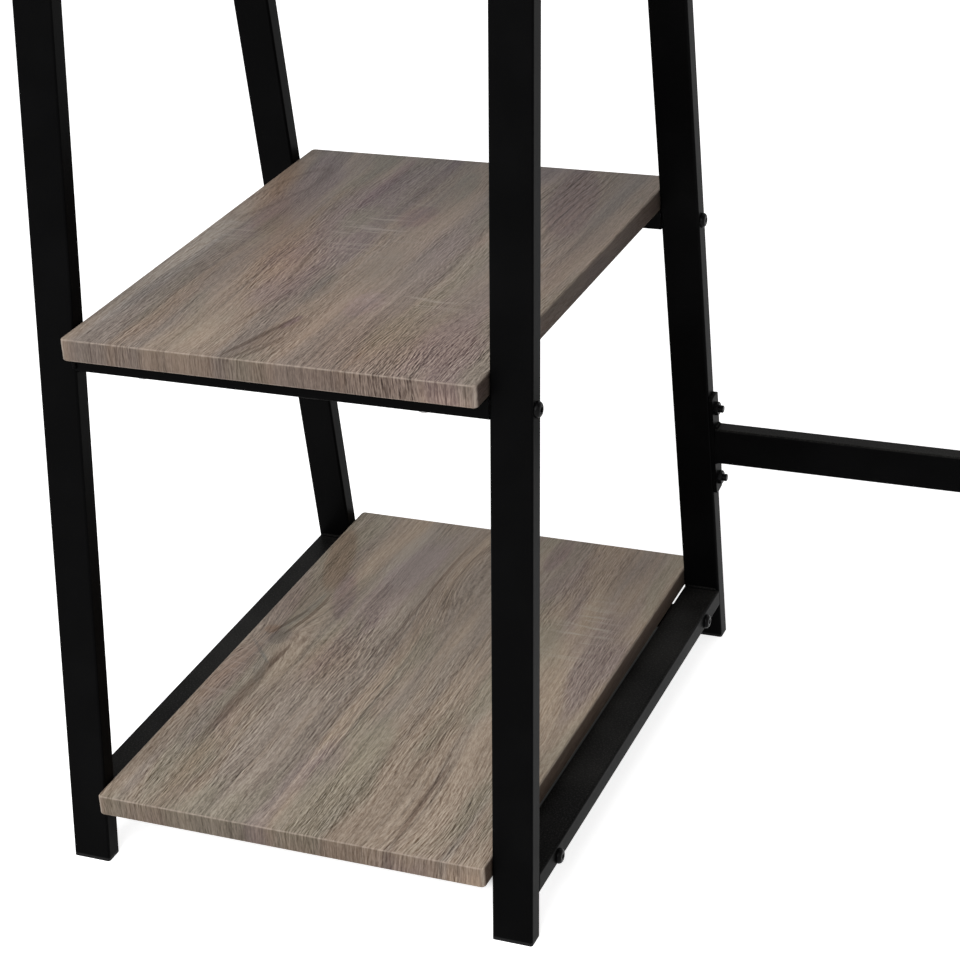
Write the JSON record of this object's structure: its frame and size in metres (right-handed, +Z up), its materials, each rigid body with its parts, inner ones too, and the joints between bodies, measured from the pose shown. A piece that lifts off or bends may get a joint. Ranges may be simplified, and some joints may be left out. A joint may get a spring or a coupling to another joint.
{
  "type": "ladder desk",
  "caption": "Trestle writing desk: wood-look top on black tube A-frames, a side tower of open shelves and a low tube stretcher at the back.",
  "frame": {"origin": "on the floor, under the middle of the desktop", "axes": "+X along the desk to the right, +Y from the front to the back, +Z up"},
  "size_m": [1.12, 0.48, 0.75],
  "materials": {
    "frame_paint": "satin black powder coat",
    "oak_laminate": "matt weathered oak laminate",
    "foot_plastic": "matt moulded plastic",
    "black_fastener": "satin black coated steel",
    "zinc_steel": "zinc-plated steel"
  },
  "bodies": {
    "root": {"bar_end_inserts": "zinc_steel", "desktop_board": "oak_laminate", "desktop_screws": "zinc_steel", "foot_plugs": "foot_plastic", "lower_shelf_back_bar": "frame_paint", "lower_shelf_board": "oak_laminate", "lower_shelf_front_bar": "frame_paint", "shelf_bar_bolts": "black_fastener", "shelf_screws": "zinc_steel", "stretcher_left_plate": "frame_paint", "stretcher_nuts": "black_fastener", "stretcher_right_plate": "frame_paint", "stretcher_studs": "black_fastener", "stretcher_tube": "frame_paint", "support_bar_bolts": "black_fastener", "top_support_back_bar": "frame_paint", "top_support_front_bar": "frame_paint", "tower_inner_back_leg": "frame_paint", "tower_inner_front_leg": "frame_paint", "tower_inner_lower_rail": "frame_paint", "tower_inner_top_rail": "frame_paint", "tower_outer_back_leg": "frame_paint", "tower_outer_front_leg": "frame_paint", "tower_outer_lower_rail": "frame_paint", "tower_outer_top_rail": "frame_paint", "trestle_back_leg": "frame_paint", "trestle_front_leg": "frame_paint", "trestle_lower_rail": "frame_paint", "trestle_top_rail": "frame_paint", "upper_shelf_back_bar": "frame_paint", "upper_shelf_board": "oak_laminate", "upper_shelf_front_bar": "frame_paint"}
  },
  "joints": []
}
